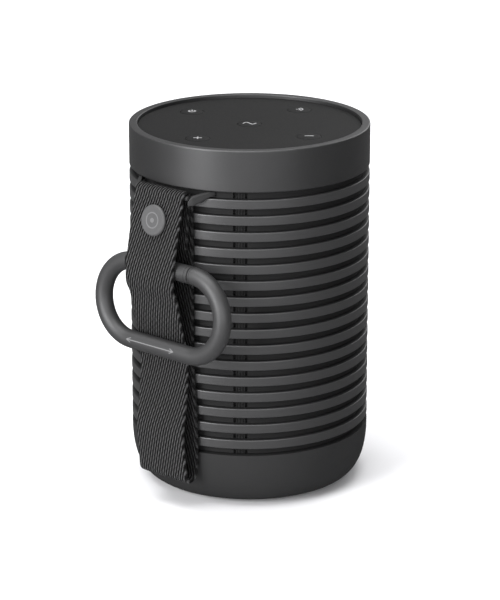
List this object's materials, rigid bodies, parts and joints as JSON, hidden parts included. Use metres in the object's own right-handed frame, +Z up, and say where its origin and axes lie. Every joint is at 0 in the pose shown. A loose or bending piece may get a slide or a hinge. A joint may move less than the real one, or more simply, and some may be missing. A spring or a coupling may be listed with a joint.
{
  "type": "shower speaker",
  "caption": "Cylindrical portable speaker with a ribbed sleeve, a recessed top control panel and a hanging webbing strap that carries an oval carabiner.",
  "frame": {"origin": "centre of the foot pad's flat underside, on the body's axis", "axes": "+Z up along the body's axis; the strap hangs on the -Y side; the charging port faces +Y; the volume-down button is on the +X side"},
  "size_m": [0.081, 0.0909, 0.124],
  "materials": {
    "collar_aluminium": "bead-blasted, anodised dark grey, satin",
    "sleeve_aluminium": "brushed round the body, anodised dark grey, satin",
    "base_polymer": "fine moulded texture, matt",
    "foot_rubber": "matt",
    "panel_rubber": "soft-touch, matt",
    "button_rubber": "soft-touch, matt, with pale printed marks",
    "coated_metal": "powder-coated dark grey, soft satin",
    "webbing": "twill-woven polyester webbing",
    "snap_metal": "satin, plain",
    "bright_steel": "bright",
    "inner_polymer": "moulded, matt",
    "liner_cloth": "acoustic cloth",
    "cone_paper": "coated paper",
    "coil_copper": "enamelled copper wire",
    "soft_rubber": "matt",
    "circuit_board": "solder mask",
    "cell_wrap": "shrink sleeve"
  },
  "bodies": {
    "housing": {"top_collar": "collar_aluminium", "ribbed_sleeve": "sleeve_aluminium", "base_cup": "base_polymer", "foot_pad": "foot_rubber", "control_panel": "panel_rubber", "strap_bar": "coated_metal", "charging_port": "bright_steel", "base_screw_1": "bright_steel", "base_screw_2": "bright_steel", "base_screw_3": "bright_steel", "base_screw_4": "bright_steel", "switch_play": "bright_steel", "switch_pair": "bright_steel", "switch_power": "bright_steel", "switch_volume_up": "bright_steel", "switch_volume_down": "bright_steel", "driver_right_magnet": "bright_steel", "driver_left_magnet": "bright_steel", "inner_chassis": "inner_polymer", "battery_tray": "inner_polymer", "charging_port_tab": "inner_polymer", "driver_right_frame": "inner_polymer", "driver_left_frame": "inner_polymer", "acoustic_liner": "liner_cloth", "top_seal": "soft_rubber", "base_seal": "soft_rubber", "driver_right_surround": "soft_rubber", "driver_left_surround": "soft_rubber", "keypad_board": "circuit_board", "main_board": "circuit_board", "ribbon_cable": "circuit_board", "battery_cell_front": "cell_wrap", "battery_cell_rear": "cell_wrap"},
    "strap": {"strap_webbing": "webbing", "snap_cap": "snap_metal", "snap_socket": "bright_steel", "snap_stud": "bright_steel"},
    "carabiner": {"carabiner_body": "coated_metal", "gate_pin": "bright_steel"},
    "gate": {"carabiner_gate": "coated_metal", "gate_spring": "bright_steel"},
    "play_button": {"button_play": "button_rubber"},
    "pair_button": {"button_pair": "button_rubber"},
    "power_button": {"button_power": "button_rubber"},
    "volume_up_button": {"button_volume_up": "button_rubber"},
    "volume_down_button": {"button_volume_down": "button_rubber"},
    "right_diaphragm": {"driver_right_cone": "cone_paper", "driver_right_dust_cap": "cone_paper", "driver_right_voice_coil": "coil_copper"},
    "left_diaphragm": {"driver_left_cone": "cone_paper", "driver_left_dust_cap": "cone_paper", "driver_left_voice_coil": "coil_copper"}
  },
  "joints": [
    {"name": "strap_swing", "type": "hinge", "parent": "housing", "child": "strap", "pos_m": [0, -0.0431, 0.1079], "axis": [-1, 0, 0], "range_deg": [0, 120]},
    {"name": "carabiner_swing", "type": "hinge", "parent": "strap", "child": "carabiner", "pos_m": [0, -0.0453, 0.08325], "axis": [-1, 0, 0], "range_deg": [0, 90]},
    {"name": "gate_swing", "type": "hinge", "parent": "carabiner", "child": "gate", "pos_m": [-0.0095, -0.0453, 0.08325], "axis": [0, -0.9969, 0.0785], "range_deg": [-12, 0], "stiffness_Nm_per_rad": 0.02, "springref_deg": 28.65},
    {"name": "play_press", "type": "slide", "parent": "housing", "child": "play_button", "axis": [0, 0, -1], "range_m": [0, 0.0004], "stiffness_N_per_m": 900, "springref_m": -0.0005},
    {"name": "pair_press", "type": "slide", "parent": "housing", "child": "pair_button", "axis": [0, 0, -1], "range_m": [0, 0.0004], "stiffness_N_per_m": 900, "springref_m": -0.0005},
    {"name": "power_press", "type": "slide", "parent": "housing", "child": "power_button", "axis": [0, 0, -1], "range_m": [0, 0.0004], "stiffness_N_per_m": 900, "springref_m": -0.0005},
    {"name": "volume_up_press", "type": "slide", "parent": "housing", "child": "volume_up_button", "axis": [0, 0, -1], "range_m": [0, 0.0004], "stiffness_N_per_m": 900, "springref_m": -0.0005},
    {"name": "volume_down_press", "type": "slide", "parent": "housing", "child": "volume_down_button", "axis": [0, 0, -1], "range_m": [0, 0.0004], "stiffness_N_per_m": 900, "springref_m": -0.0005},
    {"name": "right_diaphragm_stroke", "type": "slide", "parent": "housing", "child": "right_diaphragm", "axis": [1, 0, 0], "range_m": [-0.001, 0.001], "stiffness_N_per_m": 1500},
    {"name": "left_diaphragm_stroke", "type": "slide", "parent": "housing", "child": "left_diaphragm", "axis": [-1, 0, 0], "range_m": [-0.001, 0.001], "stiffness_N_per_m": 1500}
  ]
}
